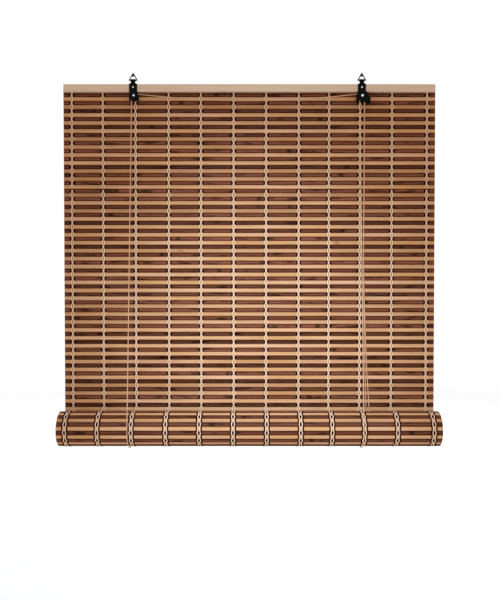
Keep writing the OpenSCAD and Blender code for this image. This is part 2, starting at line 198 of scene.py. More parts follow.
# %% [markdown]
# ## Measurements
# Every piece goes where its solid is, so the places are read off the solids and the joints, in
# metres. The roll is a spiral: a strip of mat that lies s metres along it is a little nearer to
# the axis than the strip before. One matrix that moves and turns a flat piece of mat onto the
# spiral is all that the slats and the threads of the roll need.

# %% Measurements of the mat and the roll
joints = {joint["name"]: joint for joint in frame["joints"]}
low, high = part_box("upper_dark_slats")
MAT_W, SLAT_T = high.x - low.x, high.y - low.y
MAT_MID, MAT_TOP = (low.y + high.y) / 2, high.z
LOWER_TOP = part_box("lower_dark_slats")[1].z
MAT_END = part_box("lower_light_slats")[0].z
UPPER, LOWER, GAP = 26, 60, 0.0003
PITCH = (MAT_TOP - LOWER_TOP) / UPPER
LIFT = joints["blind_lift"]["range_m"][1]
ROLL_Y, ROLL_Z = joints["roll_turn"]["pos_m"][1:]
WRAP_R, TURN, LEAD = MAT_MID - ROLL_Y, 0.005, ROLL_Z - MAT_END
# The innermost turn ends at this radius.
HEART = 0.0132
ROLLED = int(((WRAP_R**2 - HEART**2) * math.pi / TURN - LEAD - GAP) / PITCH)
OUTER = math.ceil((2 * math.pi * WRAP_R - math.pi * TURN - LEAD) / PITCH)
# The columns of thread are spaced evenly, apart from a few millimetres of drift.
OUTMOST = 0.43
drift_mm = [0, -3, -2, 0, 0, 1, 1.5, 2.5, -2.5, -5.5, -6.5, 0]
COLUMNS = [-OUTMOST + i * 2 * OUTMOST / 11 + d / 1000 for i, d in enumerate(drift_mm)]


def hanging_z(i):
    """Middle height of hanging slat i, counted from the top."""
    return MAT_TOP - (i + 0.5) * PITCH + GAP / 2


def share_left(top, bottom):
    """How much of a hanging length is left when the blind is fully raised."""
    return (top - bottom - LIFT) / (top - bottom)


def on_roll(s):
    """The place and turn of a flat piece of mat that lies s metres along the roll."""
    r = math.sqrt(WRAP_R**2 - TURN * s / math.pi)
    a = (WRAP_R - r) * 2 * math.pi / TURN
    middle = Matrix.Translation((0, ROLL_Y + r * math.cos(a), ROLL_Z - r * math.sin(a)))
    return middle @ Matrix.Rotation(-a, 4, "X")


def roll_s(k):
    """How far along the roll the middle of slat k lies."""
    return LEAD + GAP / 2 + (k + 0.5) * PITCH


print("hanging mat from", round(MAT_TOP, 4), "to", round(hanging_z(UPPER + LOWER - 1) - PITCH / 2, 4))
print(ROLLED, "slats on the roll, of which", OUTER, "make its outermost turn")

# %% [markdown]
# ## A tube along a line
# Cords and threads are the same shape at different sizes: a small ring drawn out along a line. A
# curve with a bevel would give it too, but threads are squeezed flat and carry a twist on their
# surface, so each tube here is a circle extruded from point to point. Every ring notes how far
# along the tube it lies in a UV map, and the twist is drawn on that later.


# %% Tube helper
def frame_at(p, ahead, side, wide, thick):
    """A matrix whose X and Y axes span the ring at one point of a tube."""
    up = ahead.cross(side)
    m = Matrix.Identity(4)
    m.col[0] = (*(side * wide / 2), 0)
    m.col[1] = (*(up * thick / 2), 0)
    m.col[2] = (*(ahead * 0.001), 0)
    m.col[3] = (*p, 1)
    return m


def tube(bm, points, wide, thick=None, sides=6, across=(1, 0, 0), carry=False):
    """Extrudes a ring along points; flat ends close it. carry turns the ring's side with the line."""
    points = [Vector(p) for p in points]
    thick = thick or wide
    side = Vector(across)
    rings = []
    for i, p in enumerate(points):
        ahead = (points[min(i + 1, len(points) - 1)] - points[max(i - 1, 0)]).normalized()
        side = side if carry else Vector(across)
        side = (side - side.dot(ahead) * ahead).normalized()
        rings.append(frame_at(p, ahead, side, wide, thick))
    uv = bm.loops.layers.uv.verify()
    verts = bmesh.ops.create_circle(bm, segments=sides, radius=1.0)["verts"]
    bmesh.ops.transform(bm, matrix=rings[0], verts=verts)
    edges = list(dict.fromkeys(e for v in verts for e in v.link_edges))
    bmesh.ops.edgeloop_fill(bm, edges=edges)
    run = 0.0
    for before, after in zip(rings, rings[1:]):
        made = bmesh.ops.extrude_edge_only(bm, edges=edges)["geom"]
        new = {g for g in made if isinstance(g, bmesh.types.BMVert)}
        bmesh.ops.transform(bm, matrix=after @ before.inverted(), verts=list(new))
        length = (after.translation - before.translation).length
        back, ahead = before.inverted(), after.inverted()
        for face in (g for g in made if isinstance(g, bmesh.types.BMFace)):
            face.smooth = True
            turns = []
            for loop in face.loops:
                local = (ahead if loop.vert in new else back) @ loop.vert.co
                turns.append(math.atan2(local.y, local.x) / (2 * math.pi) % 1.0)
            for loop, turn in zip(face.loops, turns):
                turn += 1.0 if max(turns) - turn > 0.5 else 0.0
                loop[uv].uv = (turn, run + (length if loop.vert in new else 0.0))
        edges = [g for g in made if isinstance(g, bmesh.types.BMEdge) and set(g.verts) <= new]
        run += length
    bmesh.ops.edgeloop_fill(bm, edges=edges)
    return run


def finish_piece(bm, name, body, slot, material, *replaced):
    """Turns a bmesh into a piece that rides on a body and stands for its solids."""
    bmesh.ops.recalc_face_normals(bm, faces=bm.faces)
    mesh = bpy.data.meshes.new(name)
    bm.to_mesh(mesh)
    bm.free()
    mesh.materials.append(material)
    piece = bpy.data.objects.new(name, mesh)
    scene.collection.objects.link(piece)
    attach(piece, body)
    if replaced:
        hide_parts(*replaced)
    mesh.calc_loop_triangles()
    print(f"{name}: {len(mesh.loop_triangles)} triangles on {body}")
    return piece


# %% [markdown]
# ## Finishes, built from shared effects
# Three effects turn up again and again: the fibres of bamboo and wood, the twist of threads and
# cords, and the scuffs on painted metal. Each is a shader node group that puts out plain masks,
# and each material mixes its own colours with them.


# %% Node helpers
def new_group(name, inputs, outputs):
    """An empty shader group with named sockets."""
    group = bpy.data.node_groups.new(name, "ShaderNodeTree")
    for label, kind, value in inputs:
        socket = group.interface.new_socket(label, in_out="INPUT", socket_type="NodeSocket" + kind)
        if value is not None:
            socket.default_value = value
    for label in outputs:
        group.interface.new_socket(label, in_out="OUTPUT", socket_type="NodeSocketFloat")
    return group, group.nodes.new("NodeGroupInput"), group.nodes.new("NodeGroupOutput")


def node(tree, kind, **settings):
    """Adds a node; settings are its properties."""
    made = tree.nodes.new("ShaderNode" + kind)
    for key, value in settings.items():
        setattr(made, key, value)
    return made


def feed(tree, socket, source):
    """Links a socket to another one, or sets its value."""
    if isinstance(source, bpy.types.NodeSocket):
        tree.links.new(source, socket)
    else:
        socket.default_value = source


def calc(tree, operation, a, b=0.0, c=0.0):
    """One step of arithmetic."""
    step = node(tree, "Math", operation=operation)
    for socket, source in zip(step.inputs, (a, b, c)):
        feed(tree, socket, source)
    return step.outputs[0]


def ramp(tree, value, low, high, to_low=0.0, to_high=1.0):
    """Maps a range of values to another, without overshoot."""
    step = node(tree, "MapRange", clamp=True)
    for socket, source in zip(step.inputs, (value, low, high, to_low, to_high)):
        feed(tree, socket, source)
    return step.outputs[0]


def mix(tree, factor, a, b, how="MIX"):
    """Mixes two colours."""
    step = node(tree, "Mix", data_type="RGBA", blend_type=how)
    for socket, source in zip((step.inputs[0], step.inputs[6], step.inputs[7]), (factor, a, b)):
        feed(tree, socket, source)
    return step.outputs[2]


def colour(r, g, b):
    """A colour from its 0 to 255 screen values, as Blender's linear colour."""
    def linear(c):
        c /= 255
        return c / 12.92 if c <= 0.04045 else ((c + 0.055) / 1.055) ** 2.4
    return (linear(r), linear(g), linear(b), 1.0)


print("helpers ready")

# %% Fibres of bamboo and wood
# Noise stretched along the length gives fibres; slower ones give patches where the tint changes and
# stains, where a slat is darker for a few centimetres.
fibre_group, gin, gout = new_group(
    "fibres",
    [("Place", "Vector", None), ("Seed", "Float", 0.0), ("Along", "Float", 9.0),
     ("Across", "Float", 900.0)],
    ["Fibre", "Patch", "Stain", "Height"],
)
part = node(fibre_group, "SeparateXYZ")
feed(fibre_group, part.inputs[0], gin.outputs["Place"])
shift = calc(fibre_group, "MULTIPLY", gin.outputs["Seed"], 61.0)
results = []
for along, across, detail in ((1.0, 1.0, 3.0), (0.5, 0.05, 1.0), (2.4, 0.25, 2.0)):
    spot = node(fibre_group, "CombineXYZ")
    for axis, label, share in ((0, "Along", along), (1, "Across", across)):
        rate = calc(fibre_group, "MULTIPLY", gin.outputs[label], share)
        feed(fibre_group, spot.inputs[axis], calc(fibre_group, "MULTIPLY", part.outputs[axis], rate))
    feed(fibre_group, spot.inputs[2], shift)
    grain = node(fibre_group, "TexNoise")
    feed(fibre_group, grain.inputs["Vector"], spot.outputs[0])
    feed(fibre_group, grain.inputs["Scale"], 1.0)
    feed(fibre_group, grain.inputs["Detail"], detail)
    results.append(grain.outputs[0])
feed(fibre_group, gout.inputs["Fibre"], ramp(fibre_group, results[0], 0.3, 0.7))
feed(fibre_group, gout.inputs["Patch"], ramp(fibre_group, results[1], 0.35, 0.65))
feed(fibre_group, gout.inputs["Stain"], ramp(fibre_group, results[2], 0.54, 0.68))
feed(fibre_group, gout.inputs["Height"], results[0])
print("group", fibre_group.name)

# %% Twist of threads and cords
# Slanting bands on the tube's own UV map: u runs once round it and v along it in metres.
twist_group, gin, gout = new_group(
    "twist",
    [("Place", "Vector", None), ("Plies", "Float", 3.0), ("Lay", "Float", 400.0)],
    ["Ply", "Height", "Fuzz"],
)
part = node(twist_group, "SeparateXYZ")
feed(twist_group, part.inputs[0], gin.outputs["Place"])
turns = calc(twist_group, "MULTIPLY_ADD", part.outputs[0], gin.outputs["Plies"],
             calc(twist_group, "MULTIPLY", part.outputs[1], gin.outputs["Lay"]))
wave = calc(twist_group, "SINE", calc(twist_group, "MULTIPLY", turns, 2 * math.pi))
feed(twist_group, gout.inputs["Height"], calc(twist_group, "ABSOLUTE", wave))
feed(twist_group, gout.inputs["Ply"], ramp(twist_group, calc(twist_group, "ABSOLUTE", wave), 0.0, 0.6))
fuzz = node(twist_group, "TexNoise")
feed(twist_group, fuzz.inputs["Scale"], 900.0)
body_place = node(twist_group, "TexCoord")
feed(twist_group, fuzz.inputs["Vector"], body_place.outputs["Object"])
feed(twist_group, gout.inputs["Fuzz"], ramp(twist_group, fuzz.outputs[0], 0.3, 0.7))
print("group", twist_group.name)

# %% Scuffs on metal
# Fine grit gives the surface its tooth, and stretched noise a few rubbed streaks.
scuff_group, gin, gout = new_group("scuffs", [("Grit", "Float", 2500.0), ("Rub", "Float", 160.0)],
                                   ["Grit", "Rub", "Height"])
place = node(scuff_group, "TexCoord")
for label, detail in (("Grit", 2.0), ("Rub", 6.0)):
    speck = node(scuff_group, "TexNoise")
    feed(scuff_group, speck.inputs["Vector"], place.outputs["Object"])
    feed(scuff_group, speck.inputs["Scale"], gin.outputs[label])
    feed(scuff_group, speck.inputs["Detail"], detail)
    feed(scuff_group, gout.inputs[label], ramp(scuff_group, speck.outputs[0], 0.35, 0.75))
    if label == "Grit":
        feed(scuff_group, gout.inputs["Height"], speck.outputs[0])
print("group", scuff_group.name)


# %% Material helpers
def new_material(name, roughness=0.5, metallic=0.0):
    """A material with its own Principled shader."""
    material = bpy.data.materials.new(name)
    material.use_nodes = True
    shader = material.node_tree.nodes["Principled BSDF"]
    shader.inputs["Roughness"].default_value = roughness
    shader.inputs["Metallic"].default_value = metallic
    return material, material.node_tree, shader


def use_group(tree, group, **inputs):
    """Places an effect with its own values."""
    made = tree.nodes.new("ShaderNodeGroup")
    made.node_tree = group
    for label, source in inputs.items():
        feed(tree, made.inputs[label], source)
    return made.outputs


def emboss(tree, shader, height, strength, distance):
    """Bump from a height."""
    bump = node(tree, "Bump")
    feed(tree, bump.inputs["Strength"], strength)
    feed(tree, bump.inputs["Distance"], distance)
    feed(tree, bump.inputs["Height"], height)
    tree.links.new(bump.outputs[0], shader.inputs["Normal"])


def attribute(tree, name):
    """A value that each slat carries."""
    return node(tree, "Attribute", attribute_name=name).outputs["Fac"]


print("material helpers ready")

# %% [markdown]
# ## Bamboo
# Both kinds of slat are split bamboo. The light ones keep their own straw colour, and the dark
# ones are stained. Each slat was cut from another cane, so each carries its own seed, tone and
# the place of a joint of the cane. The fibres run on the slat's UV map, which measures metres
# along and across it, so they stay on the slat when it is wound round the roll.

# %% Bamboo materials
# The most that a slat takes of the deeper shade, and how far the dark ring of a joint reaches.
DEEPEST = 0.8
JOINT_CORE, JOINT_END = 0.004, 0.011


def bamboo(name, shades, streak, gap_shade, joint_shade, stained, roughness, gloss):
    """shades: two tints and a deeper one; also where painted shade darkens a slat's long edges, and its
    colour.
    """
    material, tree, shader = new_material(name, roughness)
    place = node(tree, "UVMap", uv_map="UVMap").outputs[0]
    seed = attribute(tree, "seed")
    fibre = use_group(tree, fibre_group, Place=place, Seed=seed, Along=9.0, Across=480.0)
    part = node(tree, "SeparateXYZ")
    feed(tree, part.inputs[0], place)
    tint = mix(tree, fibre["Patch"], colour(*shades[0]), colour(*shades[1]))
    depth = ramp(tree, attribute(tree, "tone"), 0.4, 1.0, 0.0, DEEPEST)
    tint = mix(tree, depth, tint, colour(*shades[2]))
    tint = mix(tree, 1.0, tint, ramp(tree, fibre["Fibre"], 0.0, 1.0, *streak), "MULTIPLY")
    tint = mix(tree, calc(tree, "MULTIPLY", fibre["Stain"], stained), tint, colour(*joint_shade))
    # Painted shade along a slat's long edges, where slats meet; on a dark slat it leaves a lighter middle
    # as a painted sheen.
    gap_shade_mask = ramp(tree, calc(tree, "ABSOLUTE", part.outputs[1]), gap_shade[0], gap_shade[1])
    tint = mix(tree, 1.0, tint, mix(tree, gap_shade_mask, (1, 1, 1, 1), gap_shade[2]), "MULTIPLY")
    away = calc(tree, "ABSOLUTE", calc(tree, "SUBTRACT", part.outputs[0], attribute(tree, "joint")))
    away = calc(tree, "MULTIPLY_ADD", fibre["Patch"], 0.004, away)
    band = ramp(tree, away, JOINT_CORE, JOINT_END, 1.0, 0.0)
    tint = mix(tree, calc(tree, "MULTIPLY", band, 0.8), tint, colour(*joint_shade))
    tree.links.new(tint, shader.inputs["Base Color"])
    tree.links.new(ramp(tree, fibre["Fibre"], 0.0, 1.0, roughness + 0.1, roughness - 0.06),
                   shader.inputs["Roughness"])
    shader.inputs["Specular IOR Level"].default_value = gloss
    emboss(tree, shader, fibre["Height"], 0.35, 0.0003)
    return material


straw = [(230, 177, 123), (243, 195, 158), (196, 144, 102)]
stain = [(135, 84, 57), (145, 91, 77), (67, 34, 21)]
# Painted shade on the long edges of each kind of slat: from and to how far off the middle, and its colour.
light_gap_shade = (0.003, 0.0046, (0.42, 0.37, 0.31, 1))
dark_gap_shade_and_sheen = (0.001, 0.0044, (0.4, 0.3, 0.19, 1))
light_bamboo = bamboo("light bamboo", straw, (0.8, 1.12), light_gap_shade, (188, 136, 92), 0.12, 0.52, 0.12)
dark_bamboo = bamboo("dark bamboo", stain, (0.62, 1.36), dark_gap_shade_and_sheen, (34, 10, 5), 0.8, 0.46, 0.05)
print(light_bamboo.name, "and", dark_bamboo.name)

# %% [markdown]
# ## Raw wood
# The headrail, the strip behind it and the bar in the roll are plain sawn softwood without
# varnish: pale, dry and slightly pink, with straight grain along the length. The same fibres do
# it, read from Object coordinates because these are solids that keep still on their body, and
# turned about the length, so that the front and the top both show the grain.

# %% Raw wood
raw_wood, tree, shader = new_material("raw wood", 0.72)
place = node(tree, "TexCoord").outputs["Object"]
turned = node(tree, "Mapping")
turned.inputs["Rotation"].default_value = (math.radians(35), 0, 0)
feed(tree, turned.inputs["Vector"], place)
fibre = use_group(tree, fibre_group, Place=turned.outputs[0], Seed=0.37, Along=5.0, Across=420.0)
tint = mix(tree, fibre["Patch"], colour(252, 236, 216), colour(250, 228, 208))
tint = mix(tree, 1.0, tint, ramp(tree, fibre["Fibre"], 0.0, 1.0, 0.9, 1.05), "MULTIPLY")
tree.links.new(tint, shader.inputs["Base Color"])
tree.links.new(ramp(tree, fibre["Fibre"], 0.0, 1.0, 0.8, 0.64), shader.inputs["Roughness"])
emboss(tree, shader, fibre["Height"], 0.3, 0.0003)
for name in ("headrail", "back_strip", "bottom_bar"):
    nodes[name].data.materials.clear()
    nodes[name].data.materials.append(raw_wood)
print(raw_wood.name, "on the headrail, the back strip and the bar in the roll")

# %% [markdown]
# ## Thread and cord
# The slats are tied with soft cotton thread, a pale one and a dark brown one, and the blind is
# lifted by a thin laid cord. All three are twisted, so they share the twist effect and differ in
# colour, number of plies and how steep the lay is.


# %% Thread and cord materials
def twisted(name, pale, deep, plies, lay, bump):
    """pale on the crown of each ply, deep in the grooves as painted shade."""
    material, tree, shader = new_material(name, 0.85)
    place = node(tree, "UVMap", uv_map="UVMap").outputs[0]
    twist = use_group(tree, twist_group, Place=place, Plies=plies, Lay=lay)
    # The deep colour in the grooves between plies is painted shade.
    tint = mix(tree, twist["Ply"], colour(*deep), colour(*pale))
    tint = mix(tree, 1.0, tint, ramp(tree, twist["Fuzz"], 0.0, 1.0, 0.93, 1.03), "MULTIPLY")
    tree.links.new(tint, shader.inputs["Base Color"])
    tree.links.new(ramp(tree, twist["Fuzz"], 0.0, 1.0, 0.92, 0.78), shader.inputs["Roughness"])
    shader.inputs["Specular IOR Level"].default_value = 0.03
    emboss(tree, shader, twist["Height"], 0.6, bump)
    return material


pale_thread = twisted("pale thread", (255, 243, 226), (255, 230, 207), 1.0, 330.0, 0.0002)
dark_thread = twisted("dark thread", (92, 27, 6), (56, 14, 3), 1.0, 330.0, 0.0003)
lift_cord = twisted("lift cord", (255, 240, 214), (240, 204, 168), 1.5, 240.0, 0.0003)
print(pale_thread.name, dark_thread.name, lift_cord.name)

# %% [markdown]
# ## Metal
# The brackets, the cam and its pin are stamped from sheet and painted satin black; the rings are
# darkened wire; the nails and axles have bright heads, and the pulleys are brass. Their solids
# already have the right shape, so they keep it and only get their finish.


# %% Metal materials
def metal(name, base, rubbed, roughness, metallic, grit, gloss=0.5):
    """A base colour that is rubbed paler in places."""
    material, tree, shader = new_material(name, roughness, metallic)
    scuff = use_group(tree, scuff_group, Grit=grit, Rub=150.0)
    tint = mix(tree, calc(tree, "MULTIPLY", scuff["Rub"], 0.55), colour(*base), colour(*rubbed))
    tree.links.new(tint, shader.inputs["Base Color"])
    tree.links.new(ramp(tree, scuff["Grit"], 0.0, 1.0, roughness - 0.08, roughness + 0.12),
                   shader.inputs["Roughness"])
    shader.inputs["Specular IOR Level"].default_value = gloss
    emboss(tree, shader, scuff["Height"], 0.12, 0.0002)
    return material


finishes = {
    metal("black paint", (6, 5, 5), (16, 14, 14), 0.42, 0.0, 2600.0, 0.06):
        ["left_bracket", "right_bracket", "lock_cam", "cam_pin"],
    metal("darkened wire", (10, 10, 11), (26, 26, 27), 0.4, 0.0, 3200.0, 0.12):
        ["left_ring", "right_ring"],
    metal("bright steel", (226, 226, 226), (200, 200, 202), 0.28, 1.0, 3600.0):
        ["left_nail", "right_nail", "left_axle", "right_axle"],
    metal("brass", (196, 158, 92), (214, 182, 122), 0.34, 1.0, 3000.0): ["left_pulley", "right_pulley"],
}
for material, names in finishes.items():
    for name in names:
        nodes[name].data.materials.clear()
        nodes[name].data.materials.append(material)
    print(material.name, "on", ", ".join(names))

# %% [markdown]
# ## Lift cords
# Each lift cord is knotted above the back strip, goes down behind the mat, under the roll, up its
# front and over a pulley. The left one then crosses to the lock on the right, and both hang down
# from there as the pull cord. The straight runs shorten when the blind is raised, so each is its
# own piece, and the loops under the roll ride up with the slings.

# %% Cord routes
# Thickness of the threads that a sling lies on, its room there, and how far from a pulley's middle
# each of two cords on it lies.
CORD = 0.002
THREAD_T, CLEAR, BESIDE = 0.0011, 0.0003, 0.0013
LEFT_X, PULLEY_Y, AXLE_Z = joints["left_pulley_turn"]["pos_m"]
RIGHT_X = joints["right_pulley_turn"]["pos_m"][0]
lift_x = {side: sum(corner.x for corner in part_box(side + "_sling")) / 2 for side in ("left", "right")}
ROPE_R = LEFT_X - lift_x["left"]
SLING_R = WRAP_R + SLAT_T / 2 + THREAD_T + CLEAR + CORD / 2
RAIL_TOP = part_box("headrail")[1].z
BACK_Y = sum(corner.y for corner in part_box("back_strip")) / 2


def smooth_route(knots, count):
    """Evenly counted points on a smooth line through a few given ones."""
    knots = [Vector(k) for k in knots]
    spans = len(knots) - 1
    points = []
    for i in range(count):
        t = i * spans / (count - 1)
        j = min(int(t), spans - 1)
        t -= j
        a, b = knots[j], knots[j + 1]
        before, after = knots[max(j - 1, 0)], knots[min(j + 2, spans)]
        ta, tb = (b - before) / 2, (after - a) / 2
        points.append(a * (2 * t**3 - 3 * t**2 + 1) + ta * (t**3 - 2 * t**2 + t)
                      + b * (3 * t**2 - 2 * t**3) + tb * (t**3 - t**2))
    return points


def over_pulley(x, y, start, end, steps):
    """Points of a cord on a pulley; 0 degrees is the right side and 90 the top."""
    angles = [math.radians(start + (end - start) * i / steps) for i in range(steps + 1)]
    return [(x + ROPE_R * math.cos(a), y, AXLE_Z + ROPE_R * math.sin(a)) for a in angles]


def cord_piece(name, body, points, across, *replaced):
    """One tube of cord."""
    bm = bmesh.new()
    tube(bm, points, CORD, sides=8, across=across)
    return finish_piece(bm, name, body, "cord", lift_cord, *replaced)


print("cord", CORD * 1000, "mm thick")

# %% Slings under the roll and runs in front
for side, x in lift_x.items():
    arc = [math.radians(180 * i / 28) for i in range(29)]
    loop = [(x, ROLL_Y + SLING_R * math.cos(a), ROLL_Z - SLING_R * math.sin(a)) for a in arc]
    cord_piece(side + "_roll_sling", "slings", loop, (1, 0, 0), side + "_sling")
    y = PULLEY_Y + (BESIDE if side == "right" else 0.0)
    run = smooth_route([(x, y, AXLE_Z), (x, ROLL_Y - SLING_R, ROLL_Z)], 30)
    front = cord_piece(side + "_front_run", "head", run, (1, 0, 0), side + "_front_cord")
    share_left(AXLE_Z, ROLL_Z)
    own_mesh(front)

# %% [markdown]
# ## Knots
# A cord that would slip through its hole is stopped with a knot. A ball would be a poor stand-in:
# here the cord is wound twice round itself and its end sticks out, as in a barrel knot.

# %% Knot helper
# A knot is this tall, and a strand ends just inside it.
KNOT_H, STRAND_END = 0.0052, 0.005


def barrel_knot(bm, x, y, top, tail):
    """A knot that starts at a height and ends in a short tail."""
    coil = [(0, 0, 0.0), (0.5, 0.0, -0.4), (1.35, 0, -0.9)]
    coil += [(1.5 * math.cos(t), 1.5 * math.sin(t), -1.0 - 2.9 * t / (4 * math.pi))
             for t in (4 * math.pi * i / 20 for i in range(1, 21))]
    coil += [(0.9, 0.2, -4.3), (0.1, 0.1, -4.6), (-0.2, 0.0, -4.7 - tail)]
    points = [(x + a / 1000, y + b / 1000, top + c / 1000) for a, b, c in coil]
    tube(bm, points, CORD, sides=6, across=(0, 1, 0), carry=True)


print("a knot is", KNOT_H * 1000, "mm tall")

# %% Runs behind the mat, knotted on the back strip
bm = bmesh.new()
for x in lift_x.values():
    run = [(x, BACK_Y, RAIL_TOP), (x, ROLL_Y + SLING_R, ROLL_Z)]
    tube(bm, smooth_route(run, 30), CORD, sides=8)
behind = finish_piece(bm, "back_runs", "head", "cord", lift_cord, "back_cords")
share_left(RAIL_TOP, ROLL_Z)
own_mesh(behind)
bm = bmesh.new()
for x in lift_x.values():
    barrel_knot(bm, x, BACK_Y, RAIL_TOP + KNOT_H, 0.4)
finish_piece(bm, "back_knots", "head", "cord", lift_cord)

# %% [markdown]
# ## Cross cord
# Between the brackets the left cord hangs in a shallow bow: a cord held at two ends always sags.
# It lies over the top of both pulleys, so its line is a quarter turn, a bow and a quarter turn.

# %% Cross cord and the loop over the right pulley
SAG = 0.017
span = RIGHT_X - LEFT_X
bow = [(LEFT_X + span * f, PULLEY_Y - BESIDE * f, AXLE_Z + ROPE_R - SAG * 4 * f * (1 - f))
       for f in (i / 24 for i in range(1, 24))]
crossing = (over_pulley(LEFT_X, PULLEY_Y, 180, 90, 5) + bow
            + over_pulley(RIGHT_X, PULLEY_Y - BESIDE, 90, 0, 5))
cord_piece("crossing_cord", "head", crossing, (0, 1, 0), "cross_cord")
cord_piece("right_pulley_loop", "head", over_pulley(RIGHT_X, PULLEY_Y + BESIDE, 180, 0, 10), (0, 1, 0),
           "lock_loop")

# %% [markdown]
# ## Pull cord
# The two strands leave the lock side by side, hang down beside the lift cord and end in knots just
# above the roll. They are free cords, so their line is given here, and each strand's length is printed.

# %% Pull cord
# A strand starts this far under the axle. Its line: share of the way down, drift to the right, and
# how far it leaves the middle of the two.
START = 0.00045
DRIFT = [(0.28, -0.0006, 0.0), (0.55, -0.001, 0.0), (0.81, 0.004, 0.0015)]
END_DRIFT, END_SPREAD = 0.010, 0.0035
PULL_X, PULL_END = RIGHT_X + ROPE_R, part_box("pull_cords")[0].z
PULL_TOP, PULL_LEN = AXLE_Z - START, AXLE_Z - PULL_END
for name, s in (("front", -1), ("rear", 1)):
    y = PULLEY_Y + BESIDE * s
    end_x = PULL_X + END_DRIFT - END_SPREAD * s
    stops = [(PULL_X + drift - spread * s, y, AXLE_Z - share * PULL_LEN) for share, drift, spread in DRIFT]
    route = smooth_route([(PULL_X, y, PULL_TOP), *stops, (end_x, y, PULL_END + STRAND_END)], 33)
    bm = bmesh.new()
    length = tube(bm, route, CORD, sides=8, across=(0, 1, 0))
    strand = finish_piece(bm, name + "_pull_strand", "head", "cord", lift_cord, "pull_cords")
    bm = bmesh.new()
    barrel_knot(bm, end_x, y, PULL_END + KNOT_H, 0.8)
    knot = finish_piece(bm, name + "_pull_knot", "head", "cord", lift_cord)
    for piece in (strand, knot):
        share_left(PULL_TOP, PULL_END)
        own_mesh(piece)
    print(name, "strand", round(length, 4), "m long")

# %% [markdown]
# ## Slats
# A slat is a flat strip with eased edges, so it starts as a cube that is stretched, bevelled along
# its four long edges and cut across a few times, so that it can be bent a little. One blank serves
# for all of them. Each copy gets its own seed, tone and joint, and leans and bows by a hair, which
# keeps the mat from looking machined.

# %% The blank slat
SLAT_H, EASED = 0.0096, 0.0006


def blank_slat(cuts):
    """A bevelled strip round the origin, with its UV map in metres and room for its own values."""
    bm = bmesh.new()
    bmesh.ops.create_cube(bm, size=1.0)
    bmesh.ops.scale(bm, vec=(MAT_W, SLAT_T, SLAT_H), verts=bm.verts)
    long_edges = [e for e in bm.edges if abs(e.verts[0].co.x - e.verts[1].co.x) > MAT_W / 2]
    bmesh.ops.bevel(bm, geom=long_edges, offset=EASED, offset_type="OFFSET", segments=2, profile=0.5,
                    affect="EDGES", material=-1)
    for i in range(1, cuts):
        bmesh.ops.bisect_plane(bm, geom=bm.verts[:] + bm.edges[:] + bm.faces[:], dist=1e-6,
                               plane_co=(MAT_W * (i / cuts - 0.5), 0, 0), plane_no=(1, 0, 0))
    uv = bm.loops.layers.uv.new("UVMap")
    for face in bm.faces:
        for loop in face.loops:
            loop[uv].uv = (loop.vert.co.x, loop.vert.co.z)
    for label in ("seed", "tone", "joint"):
        bm.verts.layers.float.new(label)
    mesh = bpy.data.meshes.new("blank slat")
    bm.to_mesh(mesh)
    bm.free()
    return mesh


blank = blank_slat(7)
stiff_blank = blank_slat(1)
print("a blank has", len(blank.polygons), "faces")

# %% Laying slats
# How far a slat leans, in degrees, and bows, in metres; a joint put off the slat doesn't show.
luck = random.Random(20)
LEAN, BOW, NO_JOINT = 1.2, 0.00012, 9.0


def lay_slats(name, body, slot, material, places, jointed, deep, *replaced):
    """Copies the blank to every place; deep is the least depth of tone that a slat may have."""
    bm = bmesh.new()
    for place, cheap in places:
        first = len(bm.verts)
        bm.from_mesh(stiff_blank if cheap else blank)
        bm.verts.ensure_lookup_table()
        new = bm.verts[first:]
        seed, tone = luck.random(), luck.uniform(deep, 1.0)
        joint = luck.uniform(-0.45, 0.45) if luck.random() < jointed else NO_JOINT
        values = {"seed": seed, "tone": tone, "joint": joint}
        layers = {label: bm.verts.layers.float[label] for label in values}
        lean = Matrix.Rotation(math.radians(luck.uniform(-LEAN, LEAN)), 4, "X")
        bow, phase = luck.uniform(-BOW, BOW), luck.uniform(0, 6.3)
        for v in new:
            for label, value in values.items():
                v[layers[label]] = value
            v.co.y += bow * math.sin(5 * v.co.x + phase)
        bmesh.ops.transform(bm, matrix=place @ lean, verts=new)
    return finish_piece(bm, name, body, slot, material, *replaced)


def hanging(first, count, odd):
    """Places of every second hanging slat."""
    return [(Matrix.Translation((0, MAT_MID, hanging_z(i))), False)
            for i in range(first, first + count) if i % 2 == odd]


print("ready to lay", UPPER + LOWER, "hanging slats")

# %% [markdown]
# ## Hanging mat
# The upper slats always hang. The lower ones wind onto the roll when the blind is raised, so they
# are pieces of their own.

# %% Hanging slats
# Each kind of slat, its material and the share of slats that show a joint.
kinds = (("dark", dark_bamboo, 0.85), ("light", light_bamboo, 0.05))
for where, first, count in (("upper", 0, UPPER), ("lower", UPPER, LOWER)):
    for odd, (kind, material, jointed) in enumerate(kinds):
        piece = lay_slats(f"{where}_{kind}_mat", "head", kind + "_bamboo", material,
                          hanging(first, count, odd), jointed, 0.0, f"{where}_{kind}_slats")
        if where == "lower":
            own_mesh(piece)

# %% [markdown]
# ## Roll
# The rolled part of the mat is the same strip laid along a spiral, so every slat of the roll is
# the same blank moved and turned by the spiral's matrix. All turns are laid, because they show at
# the two ends, but only the outermost ones need the bendable blank. The roll shows the back of
# the mat, and its stained slats are painted a shade deeper, which stands for shade on the roll.

# %% Rolled slats
# The least depth of tone of a stained slat on the roll: a darker tone painted as shade on the roll.
ROLL_SHADE_TONE = 0.55
coil = [(on_roll(roll_s(k)), k >= OUTER + 1) for k in range(ROLLED)]
for odd, (kind, material, jointed) in enumerate(kinds):
    lay_slats(f"rolled_{kind}_mat", "roll", kind + "_bamboo", material, coil[odd::2], jointed,
              ROLL_SHADE_TONE if kind == "dark" else 0.0, f"roll_{kind}_slats", "roll_turns")

